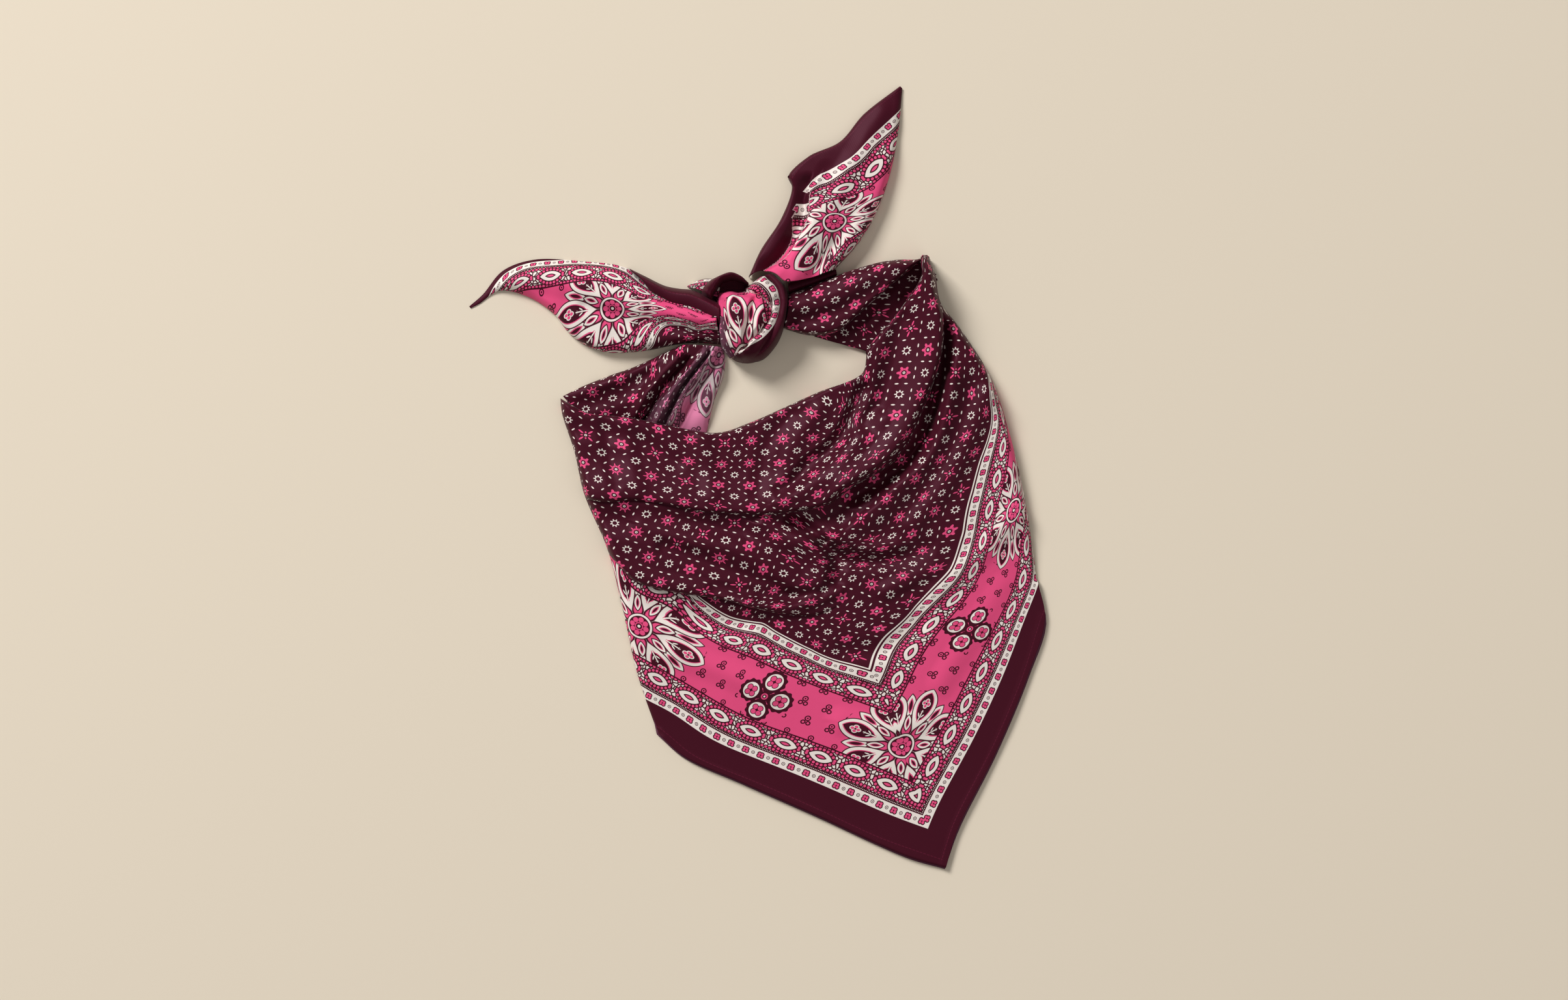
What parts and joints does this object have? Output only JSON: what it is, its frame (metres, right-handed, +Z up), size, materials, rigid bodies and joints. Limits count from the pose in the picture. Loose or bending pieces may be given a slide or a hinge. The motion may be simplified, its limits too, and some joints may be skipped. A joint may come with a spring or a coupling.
{
  "type": "knotted bandana",
  "caption": "Square satin bandana folded on the diagonal, tied into a neck loop with a knot and two tails, and laid flat.",
  "frame": {"origin": "centre of the footprint's box, on the surface that the bandana lies on", "axes": "+Z up from the surface, +Y up the view from the hem point towards the knot and tails, +X to the right of the view"},
  "size_m": [0.3124, 0.4254, 0.025],
  "materials": {
    "printed_satin": "smooth printed satin, plum, pink and white, with a soft sheen",
    "satin_reverse": "matt back of the satin, the print showing paler",
    "hem_satin": "plain plum satin border with a narrow stitched hem"
  },
  "bodies": {
    "root": {"bib_front": "printed_satin", "bib_layers": "satin_reverse", "neck_left": "printed_satin", "neck_left_pleats": "satin_reverse", "neck_left_flap": "satin_reverse", "neck_left_layers": "satin_reverse", "neck_right": "printed_satin", "neck_right_layers": "satin_reverse", "neck_right_under": "printed_satin", "neck_right_roll": "printed_satin", "tail_left": "printed_satin", "tail_left_layers": "satin_reverse", "tail_left_turn": "hem_satin", "tail_right": "printed_satin", "tail_right_layers": "satin_reverse", "tail_right_turn": "hem_satin", "knot_layers": "satin_reverse", "knot_wrap": "printed_satin", "knot_turn": "hem_satin", "knot_loop": "hem_satin", "knot_tuck": "printed_satin"}
  },
  "joints": []
}
